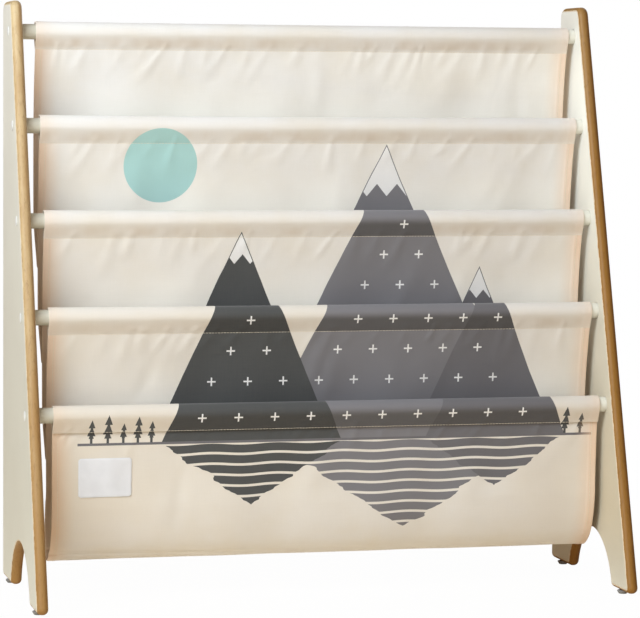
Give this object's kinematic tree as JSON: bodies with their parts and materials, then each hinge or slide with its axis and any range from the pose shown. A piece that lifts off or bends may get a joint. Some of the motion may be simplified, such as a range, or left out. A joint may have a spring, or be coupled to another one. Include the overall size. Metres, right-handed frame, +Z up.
{
  "type": "sling bookshelf",
  "caption": "Children's sling bookshelf: two leaning wooden side panels, joined by rods that carry canvas slings with open pockets for books.",
  "frame": {"origin": "on the floor, in the middle of the overall width and depth", "axes": "+X along the rods to the right as seen from the front, +Y to the back, +Z up"},
  "size_m": [0.6292, 0.2577, 0.614],
  "materials": {
    "board": "satin paint on both faces, bare rounded edges",
    "rod_paint": "satin paint",
    "canvas": "matte plain weave",
    "sleeve_canvas": "matte plain weave, double at the seam",
    "label": "matte",
    "cap": "satin",
    "steel": "zinc plated",
    "brass": "plain",
    "glide": "matte"
  },
  "bodies": {
    "root": {"side_panel_left": "board", "glide_front_left": "glide", "glide_rear_left": "glide", "side_panel_right": "board", "glide_front_right": "glide", "glide_rear_right": "glide", "rod_1": "rod_paint", "rod_sleeve_1": "sleeve_canvas", "rod_2": "rod_paint", "rod_sleeve_2": "sleeve_canvas", "rod_3": "rod_paint", "rod_sleeve_3": "sleeve_canvas", "rod_4": "rod_paint", "rod_sleeve_4": "sleeve_canvas", "rod_5": "rod_paint", "rod_sleeve_5": "sleeve_canvas", "sling_1": "canvas", "sling_2": "canvas", "sling_3": "canvas", "sling_4": "canvas", "label_patch": "label", "cap_left_1": "cap", "screw_left_1": "steel", "insert_left_1": "brass", "cap_left_2": "cap", "screw_left_2": "steel", "insert_left_2": "brass", "cap_left_3": "cap", "screw_left_3": "steel", "insert_left_3": "brass", "cap_left_4": "cap", "screw_left_4": "steel", "insert_left_4": "brass", "cap_left_5": "cap", "screw_left_5": "steel", "insert_left_5": "brass", "cap_right_1": "cap", "screw_right_1": "steel", "insert_right_1": "brass", "cap_right_2": "cap", "screw_right_2": "steel", "insert_right_2": "brass", "cap_right_3": "cap", "screw_right_3": "steel", "insert_right_3": "brass", "cap_right_4": "cap", "screw_right_4": "steel", "insert_right_4": "brass", "cap_right_5": "cap", "screw_right_5": "steel", "insert_right_5": "brass"}
  },
  "joints": []
}
